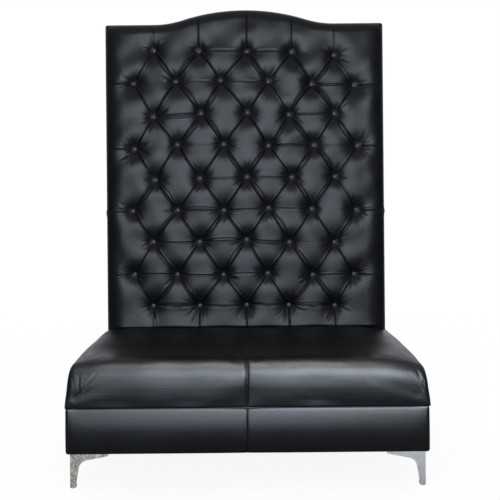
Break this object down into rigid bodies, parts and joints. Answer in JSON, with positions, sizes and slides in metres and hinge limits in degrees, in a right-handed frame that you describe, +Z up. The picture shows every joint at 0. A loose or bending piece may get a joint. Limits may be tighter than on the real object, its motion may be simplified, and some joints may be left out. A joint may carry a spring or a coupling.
{
  "type": "banquette",
  "caption": "High-backed upholstered bench with a camelback top, a deep buttoned back in diamonds, a tight seat with a centre seam, a padded apron and four cast corner legs.",
  "frame": {"origin": "on the floor, under the middle of the bounding box", "axes": "+X to the right hand of someone who faces the front, +Y to the rear, +Z up"},
  "size_m": [1.228, 0.76, 1.8149],
  "materials": {
    "leather": "black semi-gloss upholstery leather with a fine grain",
    "leg_metal": "cast aluminium, brushed and polished",
    "fasteners": "zinc-plated steel",
    "glides": "black nylon",
    "timber": "planed beech, unvarnished",
    "board": "plywood and hardboard, unvarnished",
    "foam": "open-cell upholstery foam",
    "wadding": "white polyester wadding",
    "webbing": "black elastic webbing",
    "deck_cloth": "hessian",
    "dust_cloth": "black spun-bonded cloth",
    "twine": "waxed nylon tufting twine"
  },
  "bodies": {
    "root": {"front_left_leg": "leg_metal", "front_right_leg": "leg_metal", "rear_right_leg": "leg_metal", "rear_left_leg": "leg_metal", "leg_screws": "fasteners", "foot_glides": "glides", "post_bolts": "fasteners", "bolt_washers": "fasteners", "tee_nuts": "fasteners", "seat_front_rail": "timber", "seat_rear_rail": "timber", "seat_left_rail": "timber", "seat_right_rail": "timber", "seat_centre_rail": "timber", "corner_blocks": "timber", "webbing_lengthwise": "webbing", "webbing_crosswise": "webbing", "seat_deck_cloth": "deck_cloth", "dust_cover": "dust_cloth", "apron_front_padding": "wadding", "apron_left_padding": "wadding", "apron_right_padding": "wadding", "apron_left_cover": "leather", "apron_right_cover": "leather", "apron_front_cover_left": "leather", "apron_front_cover_right": "leather", "seat_cover_left": "leather", "seat_cover_right": "leather", "seat_wadding": "wadding", "seat_foam": "foam", "back_left_post": "timber", "back_right_post": "timber", "back_upper_rail": "timber", "back_middle_rail": "timber", "back_lower_rail": "timber", "back_bottom_rail": "timber", "back_top_rail": "timber", "back_foam": "foam", "tufting_board": "board", "tufted_back_cover": "leather", "tuft_buttons": "leather", "button_twines": "twine", "twine_toggles": "timber", "border_padding": "wadding", "left_border_lower": "leather", "left_border_upper": "leather", "right_border_lower": "leather", "right_border_upper": "leather", "top_border": "leather", "outside_back_panel": "board", "outside_back_wadding": "wadding", "outside_back_lower": "leather", "outside_back_upper": "leather"}
  },
  "joints": []
}
